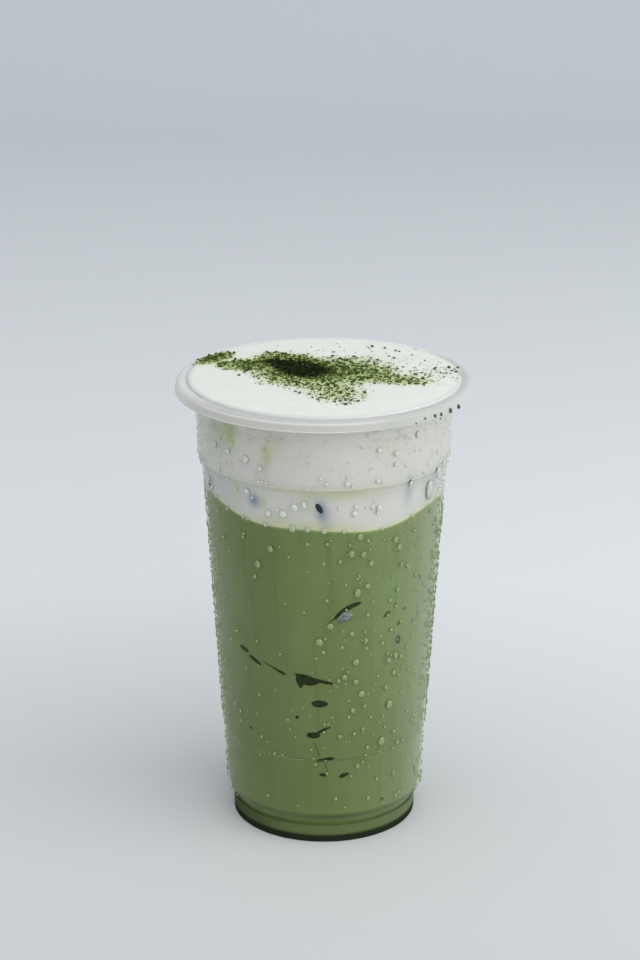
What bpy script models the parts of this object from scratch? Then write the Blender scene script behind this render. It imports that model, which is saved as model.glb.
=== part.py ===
"""Iced matcha latte with a milk foam cap, in its clear plastic cup.

Units are metres, +Z up.  The origin is the centre of the cup's foot, on the
surface that the cup stands on.  The camera side of the drink is -Y.
"""

import math

import bmesh
import bpy

MM = 0.001

# Driving dimensions, in millimetres.
GAP = 0.3              # clearance between neighbouring pieces
STEPS = 48             # sides of every turned piece
CURVE_STEPS = 1        # points added along each rounded corner

WALL = 0.8             # cup wall
FOOT_RADIUS = 30.0     # outer radius of the foot ring
FOOT_HEIGHT = 6.7      # foot ring up to the heel
FOOT_BEAD = 1.7        # width of the ring that touches the table
FLOOR_UNDER = 3.0      # underside of the raised floor
HEEL_RADIUS = 32.1     # where the body rounds into the foot
HEEL_HEIGHT = 9.0
BODY_LOW_RADIUS = 32.4
BODY_LOW_HEIGHT = 15.0
LEDGE_HEIGHT = 30.3    # faint step moulded round the lower body
LEDGE_RADIUS = 33.0
LEDGE_STEP = 0.3
SHOULDER_LOW_RADIUS = 38.95    # stacking shoulder: the body widens to the neck
SHOULDER_LOW_HEIGHT = 120.0
SHOULDER_TOP_RADIUS = 40.4
SHOULDER_TOP_HEIGHT = 124.7
NECK_RADIUS = 40.9
NECK_HEIGHT = 138.0
FLARE_HEIGHT = 143.6   # the neck turns outwards into the lip
LIP_RADIUS = 47.5      # outer radius of the rolled lip
LIP_INNER_RADIUS = 42.8
LIP_TOP = 148.55
LIP_BOTTOM = 145.2

LEVEL = 111.0          # mean height of the border between drink and foam
WAVES = ((1, 0.7, -79.0), (2, 0.55, -118.0), (3, 1.6, 168.0), (5, 1.1, -20.0))
RINGS = (1.0, 0.9, 0.7, 0.35, 0.0)    # shares of the radius, from the wall to the axis
FOAM_EDGE_RADIUS = 43.6
FOAM_EDGE_HEIGHT = 149.25
FOAM_DOME = 0.35


def rounded(corners):
    """Turn (radius, height, cut) corners into points, each corner eased over its cut."""
    points = []
    for index, (radius, height, cut) in enumerate(corners):
        if cut == 0.0:
            points.append((radius, height))
            continue
        before = corners[index - 1]
        after = corners[index + 1]
        ends = []
        for other in (before, after):
            span = math.hypot(other[0] - radius, other[1] - height)
            share = min(cut / span, 0.5)
            ends.append((radius + (other[0] - radius) * share, height + (other[1] - height) * share))
        for step in range(CURVE_STEPS + 2):
            t = step / (CURVE_STEPS + 1)
            a, b, c = (1 - t) ** 2, 2 * t * (1 - t), t * t
            points.append((a * ends[0][0] + b * radius + c * ends[1][0],
                           a * ends[0][1] + b * height + c * ends[1][1]))
    return points


def inner_corners():
    """Corners of the cup's inside, from the edge of the floor up to the lip."""
    return [
        (FOOT_RADIUS - 1.4, FLOOR_UNDER + WALL, 1.2),
        (FOOT_RADIUS - WALL + 0.05, FOOT_HEIGHT + 0.5, 1.4),
        (HEEL_RADIUS - WALL, HEEL_HEIGHT + 0.2, 1.8),
        (BODY_LOW_RADIUS - WALL, BODY_LOW_HEIGHT, 3.0),
        (LEDGE_RADIUS - WALL, LEDGE_HEIGHT, 0.0),
        (LEDGE_RADIUS - WALL + LEDGE_STEP, LEDGE_HEIGHT + 0.4, 0.0),
        (SHOULDER_LOW_RADIUS - WALL, SHOULDER_LOW_HEIGHT + 0.2, 1.5),
        (SHOULDER_TOP_RADIUS - WALL, SHOULDER_TOP_HEIGHT + 0.2, 1.5),
        (NECK_RADIUS - WALL, NECK_HEIGHT, 0.0),
        (NECK_RADIUS - WALL + 0.2, FLARE_HEIGHT + 0.6, 1.8),
        (LIP_INNER_RADIUS, LIP_TOP + 0.05, 1.8),
    ]


def outer_corners():
    """Corners of the lip and the cup's outside, from the lip down to the foot."""
    return [
        (LIP_RADIUS - 0.6, LIP_TOP, 1.6),
        (LIP_RADIUS, LIP_BOTTOM, 0.0),
        (LIP_RADIUS - WALL, LIP_BOTTOM, 0.0),
        (LIP_RADIUS - 1.2, LIP_TOP - WALL, 0.0),
        (LIP_INNER_RADIUS + 0.6, LIP_TOP - WALL, 1.6),
        (NECK_RADIUS + 0.2, FLARE_HEIGHT, 1.8),
        (NECK_RADIUS, NECK_HEIGHT, 0.0),
        (SHOULDER_TOP_RADIUS, SHOULDER_TOP_HEIGHT, 1.5),
        (SHOULDER_LOW_RADIUS, SHOULDER_LOW_HEIGHT, 1.5),
        (LEDGE_RADIUS + LEDGE_STEP, LEDGE_HEIGHT + 0.2, 0.0),
        (LEDGE_RADIUS, LEDGE_HEIGHT - 0.2, 0.0),
        (BODY_LOW_RADIUS, BODY_LOW_HEIGHT, 3.0),
        (HEEL_RADIUS, HEEL_HEIGHT, 1.8),
        (FOOT_RADIUS + 0.05, FOOT_HEIGHT, 1.4),
        (FOOT_RADIUS, 0.0, 0.0),
        (FOOT_RADIUS - FOOT_BEAD, 0.0, 0.0),
        (FOOT_RADIUS - FOOT_BEAD, FLOOR_UNDER, 0.0),
    ]


def cup_profile():
    """Closed wall section of the cup, from the axis inside to the axis underneath."""
    top = (0.0, FLOOR_UNDER + WALL, 0.0)
    under = (0.0, FLOOR_UNDER, 0.0)
    return rounded([top] + inner_corners() + outer_corners() + [under])


def body_radius(height):
    """Radius of the contents along the straight body between ledge and shoulder."""
    low = (LEDGE_RADIUS - WALL + LEDGE_STEP - GAP, LEDGE_HEIGHT + 0.4)
    high = (SHOULDER_LOW_RADIUS - WALL - GAP, SHOULDER_LOW_HEIGHT + 0.2)
    share = (height - low[1]) / (high[1] - low[1])
    return low[0] + (high[0] - low[0]) * share


def latte_profile():
    """Section of the green drink, from the axis on top to the axis on the floor."""
    inside = [(radius - GAP, height, cut) for radius, height, cut in inner_corners()]
    floor = FLOOR_UNDER + WALL + GAP
    edge_radius, _, edge_cut = inside[0]
    wall = [(edge_radius, floor, edge_cut)] + inside[1:6]
    wall.reverse()
    edge = body_radius(LEVEL)
    top = [(edge * share, LEVEL, 0.0) for share in reversed(RINGS)]
    return rounded(top + wall + [(0.0, floor, 0.0)])


def foam_profile():
    """Section of the foam, from the axis on top, over the lip, to the axis underneath."""
    inside = [(radius - GAP, height, cut) for radius, height, cut in inner_corners()]
    dome = []
    for share in (0.0, 0.4, 0.75):
        height = FOAM_EDGE_HEIGHT + FOAM_DOME * (1.0 - share * share)
        dome.append((FOAM_EDGE_RADIUS * share, height, 0.0))
    edge = [
        (FOAM_EDGE_RADIUS, FOAM_EDGE_HEIGHT, 0.0),
        (FOAM_EDGE_RADIUS, LIP_TOP + GAP + 0.05, 0.0),
        (LIP_INNER_RADIUS, LIP_TOP + GAP + 0.05, 1.8),
    ]
    wall = inside[6:10]
    wall.reverse()
    border = body_radius(LEVEL + GAP)
    bottom = [(border * share, LEVEL + GAP, 0.0) for share in RINGS]
    return rounded(dome + edge + wall + bottom)


def turned(name, profile, collection):
    """Turn a section about the Z axis with a Screw modifier."""
    mesh = bpy.data.meshes.new(name)
    vertices = [(radius * MM, 0.0, height * MM) for radius, height in profile]
    edges = [(index, index + 1) for index in range(len(vertices) - 1)]
    mesh.from_pydata(vertices, edges, [])
    part = bpy.data.objects.new(name, mesh)
    collection.objects.link(part)
    screw = part.modifiers.new("Turn", "SCREW")
    screw.axis = "Z"
    screw.angle = math.tau
    screw.steps = STEPS
    screw.render_steps = STEPS
    screw.use_merge_vertices = True
    screw.merge_threshold = 0.00001
    screw.use_smooth_shade = True
    return part


def border_wave(angle):
    """Height in millimetres of the drink's wavy edge above LEVEL, angle 0 at -Y."""
    return sum(size * math.cos(count * angle - math.radians(turn)) for count, size, turn in WAVES)


def wave_border(part, level):
    """Apply the turning, then lift the rings of the border at level into its waves."""
    bpy.context.view_layer.update()
    evaluated = part.evaluated_get(bpy.context.evaluated_depsgraph_get())
    mesh = bpy.data.meshes.new_from_object(evaluated)
    mesh.name = part.name
    part.modifiers.clear()
    part.data = mesh
    edge = body_radius(level)
    lean = (body_radius(level + 1.0) - edge)
    shape = bmesh.new()
    shape.from_mesh(mesh)
    for vertex in shape.verts:
        if abs(vertex.co.z - level * MM) > 0.01 * MM:
            continue
        radius = math.hypot(vertex.co.x, vertex.co.y) / MM
        share = (radius / edge) ** 2
        rise = border_wave(math.atan2(vertex.co.x, -vertex.co.y)) * share
        stretch = 1.0 + lean * rise / edge
        vertex.co.x *= stretch
        vertex.co.y *= stretch
        vertex.co.z += rise * MM
    shape.to_mesh(mesh)
    shape.free()
    mesh.shade_smooth()


def finish_material(part, colour, roughness, alpha=1.0):
    """Give a part its own Principled material."""
    material = bpy.data.materials.new(part.name)
    material.use_nodes = True
    shader = material.node_tree.nodes["Principled BSDF"]
    shader.inputs["Base Color"].default_value = (*colour, 1.0)
    shader.inputs["Roughness"].default_value = roughness
    shader.inputs["Metallic"].default_value = 0.0
    shader.inputs["Alpha"].default_value = alpha
    part.data.materials.append(material)


def make_cup(collection):
    """Clear cup: lip, neck, stacking shoulder, body, heel, foot ring and raised floor."""
    cup = turned("cup", cup_profile(), collection)
    finish_material(cup, (0.80, 0.83, 0.82), 0.12, alpha=0.35)


def make_latte(collection):
    """Green drink, a solid up to its wavy border with the foam."""
    latte = turned("matcha_latte", latte_profile(), collection)
    wave_border(latte, LEVEL)
    finish_material(latte, (0.11, 0.20, 0.06), 0.35)


def make_foam(collection):
    """White milk foam that fills the neck and stands just over the lip."""
    foam = turned("milk_foam", foam_profile(), collection)
    wave_border(foam, LEVEL + GAP)
    finish_material(foam, (0.85, 0.87, 0.84), 0.55)


def main():
    """Clear the scene and make the cup with its contents."""
    for thing in list(bpy.data.objects):
        bpy.data.objects.remove(thing, do_unlink=True)
    collection = bpy.data.collections.new("Matcha latte")
    bpy.context.scene.collection.children.link(collection)
    make_cup(collection)
    make_latte(collection)
    make_foam(collection)


main()
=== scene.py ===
import math
import random

import bmesh
import bpy
import numpy as np
from mathutils import Matrix, Vector, noise


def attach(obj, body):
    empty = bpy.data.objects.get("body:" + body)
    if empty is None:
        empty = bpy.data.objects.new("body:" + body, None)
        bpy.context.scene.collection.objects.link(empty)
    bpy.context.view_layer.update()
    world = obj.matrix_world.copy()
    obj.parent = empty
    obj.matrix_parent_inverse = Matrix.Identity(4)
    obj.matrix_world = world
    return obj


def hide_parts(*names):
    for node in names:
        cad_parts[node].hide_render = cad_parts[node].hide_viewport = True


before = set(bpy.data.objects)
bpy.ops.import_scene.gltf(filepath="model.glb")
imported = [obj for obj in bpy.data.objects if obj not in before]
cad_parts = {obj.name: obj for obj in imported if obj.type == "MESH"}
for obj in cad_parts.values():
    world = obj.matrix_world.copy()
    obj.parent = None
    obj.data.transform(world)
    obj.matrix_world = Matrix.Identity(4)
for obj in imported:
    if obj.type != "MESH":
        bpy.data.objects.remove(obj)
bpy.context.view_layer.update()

# Sizes are in millimetres and heights are above the foot, as on the cup's drawing.
MM = 0.001
TAU = math.tau

WALL = 0.8
FOOT_RADIUS = 30.0
FOOT_HEIGHT = 6.7
FOOT_BEAD = 1.7
FLOOR_UNDER = 3.0
HEEL_RADIUS = 32.1
HEEL_HEIGHT = 9.0
BODY_LOW_RADIUS = 32.4
BODY_LOW_HEIGHT = 15.0
LEDGE_HEIGHT = 30.3
LEDGE_RADIUS = 33.0
LEDGE_STEP = 0.3
SHOULDER_LOW_RADIUS = 38.95
SHOULDER_LOW_HEIGHT = 120.0
SHOULDER_TOP_RADIUS = 40.4
SHOULDER_TOP_HEIGHT = 124.7
NECK_RADIUS = 40.9
NECK_HEIGHT = 138.0
FLARE_HEIGHT = 143.6
LIP_RADIUS = 47.5
LIP_INNER_RADIUS = 42.8
LIP_TOP = 148.55
LIP_BOTTOM = 145.2
INTO_WALL = 0.25        # how far the contents reach into the wall
GAP = 0.01              # between the drink's top and the foam's underside

LEVEL = 111.0           # mean height of the border between drink and foam
# The border's waves: (waves round the cup, height, turn in degrees).
WAVES = ((1, 0.7, -79.0), (2, 0.55, -118.0), (3, 1.6, 168.0), (5, 1.1, -20.0))
WAVE_REACH = 6.0        # how far above and below LEVEL the waves fade out
NEAR = 4.0              # the outlines are drawn finer within this distance of LEVEL
FOAM_RADIUS = 43.6
FOAM_EDGE = 149.25
FOAM_DOME = 0.35

FRONT = (-12.0, -36.0)  # the lip turns from its side into its front over this y
WATER = 1.33            # how strongly water bends light

TURN_STEPS = 240
CURVE_STEPS = 6
TOP_RINGS = 60
MERGE = 0.002           # points closer than this are one


# ---------------------------------------------------------------- outlines

def rounded(corners):
    """Turn (radius, height, cut) corners into points, each corner eased over its cut."""
    points = []
    for index, (radius, height, cut) in enumerate(corners):
        if cut == 0.0 or index in (0, len(corners) - 1):
            points.append((radius, height))
            continue
        ends = []
        for other in (corners[index - 1], corners[index + 1]):
            span = math.hypot(other[0] - radius, other[1] - height)
            share = min(cut / span, 0.5)
            ends.append((radius + (other[0] - radius) * share, height + (other[1] - height) * share))
        for step in range(CURVE_STEPS + 2):
            t = step / (CURVE_STEPS + 1)
            a, b, c = (1 - t) ** 2, 2 * t * (1 - t), t * t
            points.append((a * ends[0][0] + b * radius + c * ends[1][0],
                           a * ends[0][1] + b * height + c * ends[1][1]))
    return points


def inner_corners(grow=0.0):
    """Corners of the cup's inside, from the floor's edge to the lip, moved into the wall by grow."""
    return [
        (FOOT_RADIUS - 1.4 + grow, FLOOR_UNDER + WALL - grow, 1.2),
        (FOOT_RADIUS - WALL + 0.05 + grow, FOOT_HEIGHT + 0.5, 1.4),
        (HEEL_RADIUS - WALL + grow, HEEL_HEIGHT + 0.2, 1.8),
        (BODY_LOW_RADIUS - WALL + grow, BODY_LOW_HEIGHT, 3.0),
        (LEDGE_RADIUS - WALL + grow, LEDGE_HEIGHT, 0.15),
        (LEDGE_RADIUS - WALL + LEDGE_STEP + grow, LEDGE_HEIGHT + 0.4, 0.15),
        (SHOULDER_LOW_RADIUS - WALL + grow, SHOULDER_LOW_HEIGHT + 0.2, 1.5),
        (SHOULDER_TOP_RADIUS - WALL + grow, SHOULDER_TOP_HEIGHT + 0.2, 1.5),
        (NECK_RADIUS - WALL + grow, NECK_HEIGHT, 0.0),
        (NECK_RADIUS - WALL + 0.2 + grow, FLARE_HEIGHT + 0.6, 1.8),
        (LIP_INNER_RADIUS, LIP_TOP + 0.05 - grow, 1.8),
    ]


def outer_corners():
    """Corners of the lip and the cup's outside, from the lip down to the foot."""
    return [
        (LIP_RADIUS - 0.6, LIP_TOP, 1.6),
        (LIP_RADIUS, LIP_BOTTOM, 0.3),
        (LIP_RADIUS - WALL, LIP_BOTTOM, 0.3),
        (LIP_RADIUS - 1.2, LIP_TOP - WALL, 0.9),
        (LIP_INNER_RADIUS + 0.6, LIP_TOP - WALL, 1.6),
        (NECK_RADIUS + 0.2, FLARE_HEIGHT, 1.8),
        (NECK_RADIUS, NECK_HEIGHT, 0.0),
        (SHOULDER_TOP_RADIUS, SHOULDER_TOP_HEIGHT, 1.5),
        (SHOULDER_LOW_RADIUS, SHOULDER_LOW_HEIGHT, 1.5),
        (LEDGE_RADIUS + LEDGE_STEP, LEDGE_HEIGHT + 0.2, 0.15),
        (LEDGE_RADIUS, LEDGE_HEIGHT - 0.2, 0.15),
        (BODY_LOW_RADIUS, BODY_LOW_HEIGHT, 3.0),
        (HEEL_RADIUS, HEEL_HEIGHT, 1.8),
        (FOOT_RADIUS + 0.05, FOOT_HEIGHT, 1.4),
        (FOOT_RADIUS, 0.0, 0.3),
        (FOOT_RADIUS - FOOT_BEAD, 0.0, 0.3),
        (FOOT_RADIUS - FOOT_BEAD, FLOOR_UNDER, 0.3),
    ]


OUTSIDE = rounded(outer_corners()[5:15])
OUTSIDE_HEIGHTS = [point[1] for point in reversed(OUTSIDE)]
OUTSIDE_RADII = [point[0] for point in reversed(OUTSIDE)]


def wall_radius(height):
    """Outer radius of the cup's wall at a height."""
    return float(np.interp(height, OUTSIDE_HEIGHTS, OUTSIDE_RADII))


def border_wave(angle):
    """Height of the drink's wavy edge above LEVEL at an angle in radians, 0 at -Y."""
    return sum(size * math.cos(count * angle - math.radians(turn)) for count, size, turn in WAVES)


def refined(points, reach):
    """Add points so that no step along an outline is longer than reach."""
    fine = [points[0]]
    for before, after in zip(points, points[1:]):
        span = math.hypot(after[0] - before[0], after[1] - before[1])
        parts = max(1, math.ceil(span / reach))
        for part in range(1, parts + 1):
            share = part / parts
            fine.append((before[0] + (after[0] - before[0]) * share,
                         before[1] + (after[1] - before[1]) * share))
    return fine


# ---------------------------------------------------------------- mesh making

def new_piece(name, shape):
    """Turn a finished bmesh into a smooth object in the scene."""
    mesh = bpy.data.meshes.new(name)
    shape.to_mesh(mesh)
    shape.free()
    mesh.shade_smooth()
    piece = bpy.data.objects.new(name, mesh)
    bpy.context.scene.collection.objects.link(piece)
    return piece


def close_and_face_out(shape):
    """Merge seams and poles, then point every face outwards."""
    bmesh.ops.remove_doubles(shape, verts=shape.verts, dist=MERGE * MM)
    bmesh.ops.recalc_face_normals(shape, faces=shape.faces)
    if shape.calc_volume(signed=True) < 0:
        bmesh.ops.reverse_faces(shape, faces=shape.faces)


def turned(outline):
    """Spin an outline of (radius, height) points about the cup's axis."""
    shape = bmesh.new()
    chain = [shape.verts.new((radius * MM, 0.0, height * MM)) for radius, height in outline]
    links = [shape.edges.new(pair) for pair in zip(chain, chain[1:])]
    bmesh.ops.spin(shape, geom=chain + links, cent=(0, 0, 0), axis=(0, 0, 1), dvec=(0, 0, 0),
                   angle=TAU, steps=TURN_STEPS, use_merge=True, use_duplicate=False)
    close_and_face_out(shape)
    return shape


def angle_of(x, y):
    """Angle round the cup in radians, 0 at -Y and growing towards +X."""
    return math.atan2(x, -y)


def store(piece, name, values):
    """Keep one number for each vertex as an attribute that a material reads."""
    layer = piece.data.attributes.new(name, "FLOAT", "POINT")
    layer.data.foreach_set("value", np.asarray(values, dtype=np.float32))


def hand_over(piece, slot, *nodes):
    """Tie a piece to the cup's body and hide the solids it stands for; slot is not used."""
    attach(piece, "root")
    if nodes:
        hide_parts(*nodes)


# ---------------------------------------------------------------- node helpers

class Finish:
    """A material's nodes, placed and linked by short calls."""

    def __init__(self, name):
        self.material = bpy.data.materials.new(name)
        self.material.use_nodes = True
        self.tree = self.material.node_tree
        self.tree.nodes.clear()
        self.output = self.tree.nodes.new("ShaderNodeOutputMaterial")

    def node(self, kind, inputs=None, **settings):
        made = self.tree.nodes.new("ShaderNode" + kind)
        for key, value in settings.items():
            setattr(made, key, value)
        for key, value in (inputs or {}).items():
            socket = made.inputs[key]
            if isinstance(value, bpy.types.NodeSocket):
                self.tree.links.new(value, socket)
            else:
                socket.default_value = value
        return made

    def math(self, operation, *values, clamp=False):
        made = self.node("Math", dict(enumerate(values)), operation=operation, use_clamp=clamp)
        return made.outputs[0]

    def times(self, first, second, clamp=False):
        return self.math("MULTIPLY", first, second, clamp=clamp)

    def scaled(self, value, factor, offset, clamp=False):
        """value times factor, plus offset."""
        return self.math("MULTIPLY_ADD", value, factor, offset, clamp=clamp)

    def mix(self, share, first, second):
        made = self.node("Mix", {0: share, 6: first, 7: second}, data_type="RGBA")
        return made.outputs[2]

    def band(self, value, low, high):
        """0 below low, 1 above high, smooth between; low above high falls instead."""
        made = self.node("MapRange", {0: value, 1: low, 2: high}, interpolation_type="SMOOTHSTEP")
        return made.outputs[0]

    def slope(self, value, low, high):
        """A band on a length, with both ends in millimetres."""
        return self.band(value, low * MM, high * MM)

    def stripe(self, value, start, full, still_full, end):
        """1 between full and still_full, 0 outside start and end, in millimetres."""
        return self.times(self.slope(value, start, full), self.slope(value, end, still_full))

    def noise(self, scale, detail=3.0, roughness=0.5, stretch=(1, 1, 1)):
        place = self.node("TexCoord").outputs["Object"]
        if stretch != (1, 1, 1):
            place = self.node("Mapping", {"Vector": place, "Scale": stretch}).outputs[0]
        made = self.node("TexNoise", {"Vector": place, "Scale": scale, "Detail": detail,
                                      "Roughness": roughness})
        return made.outputs[0]

    def attribute(self, name):
        return self.node("Attribute", attribute_name=name).outputs["Fac"]

    def position(self):
        place = self.node("TexCoord").outputs["Object"]
        return self.node("SeparateXYZ", {0: place}).outputs

    def radius(self):
        x, y, _ = self.position()
        return self.math("SQRT", self.math("ADD", self.times(x, x), self.times(y, y)))

    def bump(self, height, distance, strength):
        made = self.node("Bump", {"Height": height, "Distance": distance, "Strength": strength})
        return made.outputs[0]

    def surface(self, shader):
        self.tree.links.new(shader, self.output.inputs[0])
        return self.material

    def plain(self, colour, roughness, specular, **more):
        """Finish the material as one opaque surface."""
        shader = self.node("BsdfPrincipled", {"Base Color": colour, "Roughness": roughness,
                                              "Specular IOR Level": specular, **more})
        return self.surface(shader.outputs[0])


def rgb(red, green, blue):
    """A linear colour from 8-bit display values."""
    def linear(value):
        share = value / 255.0
        return share / 12.92 if share <= 0.04045 else ((share + 0.055) / 1.055) ** 2.4
    return (linear(red), linear(green), linear(blue), 1.0)


# ---------------------------------------------------------------- finishes

def plastic_marks(f):
    """Where the lip, skirt, painted highlight bands, shoulder, ledge and foot of the cup are, each 0 to 1.
    """
    x, y, z = f.position()
    skirt = f.times(f.slope(f.radius(), LIP_RADIUS - 1.3, LIP_RADIUS - 0.9), f.slope(y, *FRONT))
    # Painted highlights: a bright band at the lip's top outer bend and one along its hem, both fading
    # towards the right.
    edge_highlight = f.stripe(z, LIP_TOP - 1.15, LIP_TOP - 0.85, LIP_TOP - 0.55, LIP_TOP - 0.35)
    edge_highlight = f.times(edge_highlight, f.scaled(f.slope(x, 8.0, 24.0), -0.85, 1.0))
    hem_highlight = f.slope(z, LIP_BOTTOM + 0.7, LIP_BOTTOM + 0.3)
    hem_highlight = f.times(hem_highlight, f.scaled(f.slope(x, 2.0, 20.0), -0.8, 0.9))
    top = SHOULDER_TOP_HEIGHT
    ledge = LEDGE_HEIGHT
    return {
        "lip": f.slope(z, FLARE_HEIGHT, FLARE_HEIGHT + 1.4),
        "skirt": skirt,
        "highlight_lines": f.times(f.math("MAXIMUM", edge_highlight, hem_highlight), skirt),
        "shoulder": f.stripe(z, top - 0.2, top, top + 0.2, top + 0.4),
        "below": f.stripe(z, top - 2.1, top - 1.0, top - 0.6, top - 0.3),
        "ledge": f.stripe(z, ledge - 0.4, ledge - 0.1, ledge + 0.3, ledge + 0.6),
        "foot": f.slope(z, FOOT_HEIGHT - 0.1, FOOT_HEIGHT - 1.1),
    }


def plastic_haze(f, marks, fine, low):
    """How milky the plastic is: a little, more at grazing angles as painted reflection and on the right as
    painted light, most on the lip and the foot.
    """
    x, _, z = f.position()
    # Milkier at grazing angles: painted reflection of the pale room along the silhouettes.
    facing = f.math("POWER", f.node("LayerWeight", {"Blend": 0.5}).outputs["Facing"], 3.0)
    haze = f.math("ADD", f.times(facing, f.scaled(low, -0.28, 0.4)), 0.001)
    haze = f.scaled(f.noise(220.0, detail=2.0), 0.008, haze)
    # Painted light: milkier on the right of the drink and along its right edge, where the light falls.
    right_light = f.times(f.slope(x, 2.0, 34.0), f.slope(z, 120.0, 112.0))
    haze = f.scaled(right_light, 0.06, haze)
    right_edge_light = f.times(f.slope(x, 22.0, 35.0), f.slope(z, 118.0, 110.0))
    haze = f.scaled(right_edge_light, 0.06, haze)
    misted = f.slope(z, SHOULDER_TOP_HEIGHT + 0.9, SHOULDER_TOP_HEIGHT + 2.3)
    haze = f.scaled(f.times(misted, f.band(fine, 0.54, 0.66)), 0.12, haze)
    for mark, most in (("shoulder", 0.22), ("below", 0.14), ("ledge", 0.22), ("lip", 0.8), ("foot", 0.95)):
        haze = f.math("MAXIMUM", haze, f.times(marks[mark], most))
    return haze


def plastic_tone(f, marks, fine):
    """Colour of the milky part of the plastic from the lip down to the foot, with painted light and shade
    on the lip, shoulder, ledge and foot.
    """
    x, y, z = f.position()
    # Painted light on the lip: darker towards the right and the front, and much lighter at the back, which
    # gets less light.
    rim = f.mix(f.slope(x, -30.0, 45.0), rgb(233, 232, 229), rgb(212, 213, 212))
    rim = f.mix(f.slope(y, *FRONT), rim, rgb(213, 212, 209))
    rim = f.mix(f.slope(y, 20.0, 42.0), rim, rgb(254, 254, 250))
    skirt_tone = f.mix(f.slope(x, 4.0, 24.0), rgb(211, 209, 203), rgb(203, 204, 197))
    tone = f.mix(f.slope(z, 110.0, 118.0), rgb(206, 218, 198), rgb(218, 218, 214))
    tone = f.mix(marks["lip"], tone, f.mix(marks["skirt"], rim, skirt_tone))
    speckle = f.times(f.band(fine, 0.60, 0.70), f.times(marks["lip"], marks["skirt"]))
    tone = f.mix(f.times(speckle, 0.55), tone, rgb(176, 178, 166))
    # Painted highlight bands along the lip's edge and hem.
    tone = f.mix(marks["highlight_lines"], tone, rgb(230, 229, 224))
    # Painted highlight along the shoulder line, and painted shade in the band just below it.
    tone = f.mix(marks["shoulder"], tone, rgb(236, 238, 214))
    tone = f.mix(marks["below"], tone, rgb(150, 162, 122))
    # Painted reflection on the ledge: pale at the sides, darker in the middle at the front.
    middle = f.stripe(x, -12.0, 0.0, 8.0, 20.0)
    tone = f.mix(marks["ledge"], tone, f.mix(middle, rgb(180, 198, 146), rgb(104, 122, 72)))
    # Painted shade at the foot: the drink's green seen through it, darker to the left, away from the
    # light, and nearly black at the bottom where the raised floor shades the recess.
    shaded_foot_tone = f.mix(f.slope(x, -28.0, -8.0), rgb(72, 86, 52), rgb(98, 114, 72))
    shaded_foot_tone = f.mix(f.slope(x, 12.0, 30.0), shaded_foot_tone, rgb(104, 118, 86))
    shaded_foot_tone = f.mix(f.slope(z, 1.9, 3.2), rgb(38, 44, 32), shaded_foot_tone)
    return f.mix(f.slope(z, FOOT_HEIGHT + 1.5, FOOT_HEIGHT + 0.1), tone, shaded_foot_tone)


def plastic_finish():
    """Clear moulded plastic: milky on the lip, with a painted highlight along the shoulder line, and the
    drink's green with painted shade at the foot.
    """
    f = Finish("clear_milky_plastic")
    marks = plastic_marks(f)
    fine = f.noise(2400.0, detail=2.0, roughness=0.7)
    low = f.slope(f.position()[2], 12.5, 9.5)
    haze = plastic_haze(f, marks, fine, low)
    normal = f.bump(f.times(fine, marks["lip"]), 0.00003, 0.3)
    milk = f.node("BsdfDiffuse", {"Color": plastic_tone(f, marks, fine), "Roughness": 0.3,
                                  "Normal": normal}).outputs[0]
    clear = f.node("BsdfTransparent", {"Color": (0.99, 0.995, 0.99, 1.0)}).outputs[0]
    body = f.node("MixShader", {0: haze, 1: clear, 2: milk}).outputs[0]
    gloss = f.node("BsdfGlossy", {"Color": (0.95, 0.95, 0.95, 1.0), "Roughness": 0.2,
                                  "Normal": normal}).outputs[0]
    shine = f.node("Fresnel", {"IOR": 1.42}).outputs[0]
    shine = f.times(shine, f.scaled(low, -0.23, 0.28))
    return f.surface(f.node("MixShader", {0: shine, 1: body, 2: gloss}).outputs[0])


def latte_finish():
    """Opaque milky green drink, faintly streaked down the wall, with painted shade in the crease above the
    heel and on its left side.
    """
    f = Finish("milky_matcha")
    x, _, z = f.position()
    streaks = f.noise(1.0, detail=3.0, stretch=(420, 420, 9))
    clouds = f.noise(45.0, detail=2.0)
    colour = f.mix(f.band(clouds, 0.3, 0.7), rgb(111, 128, 73), rgb(117, 135, 81))
    colour = f.mix(f.times(f.band(streaks, 0.5, 0.75), 0.5), colour, rgb(99, 112, 58))
    # Painted shade: a dark ring in the crease just above the heel.
    fold_shade = f.stripe(z, HEEL_HEIGHT - 0.6, HEEL_HEIGHT + 0.4, HEEL_HEIGHT + 1.1, HEEL_HEIGHT + 2.2)
    fold_shade = f.times(fold_shade, f.scaled(f.noise(120.0), 1.2, 0.25), clamp=True)
    colour = f.mix(fold_shade, colour, rgb(26, 36, 22))
    colour = f.mix(f.times(f.slope(z, 85.0, 12.0), 0.5), colour, rgb(98, 112, 58))
    # Painted shade: darker towards the left, away from the light.
    colour = f.mix(f.times(f.slope(x, -6.0, -30.0), 0.3), colour, rgb(92, 107, 58))
    border = f.attribute("above_border")
    colour = f.mix(f.slope(border, -0.9, 0.0), colour, rgb(136, 150, 90))
    return f.plain(colour, 0.45, 0.3)


def shaded_foam_side(f):
    """Painted shade on the foam's side behind the wall: grey, a little darker to the right, lighter near
    the flare as painted light against the lip's shadow, and darker at the left under the shoulder.
    """
    x, _, z = f.position()
    tone = f.mix(f.slope(x, 4.0, 34.0), rgb(213, 211, 206), rgb(203, 202, 197))
    tone = f.mix(f.times(f.slope(z, 138.5, 142.5), 0.5), tone, rgb(230, 229, 225))
    under_shoulder = f.slope(z, SHOULDER_TOP_HEIGHT - 0.2, SHOULDER_TOP_HEIGHT - 2.2)
    shaded = f.times(f.slope(x, -18.0, -34.0), under_shoulder)
    return f.mix(f.times(shaded, 0.6), tone, rgb(190, 190, 186))


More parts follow.
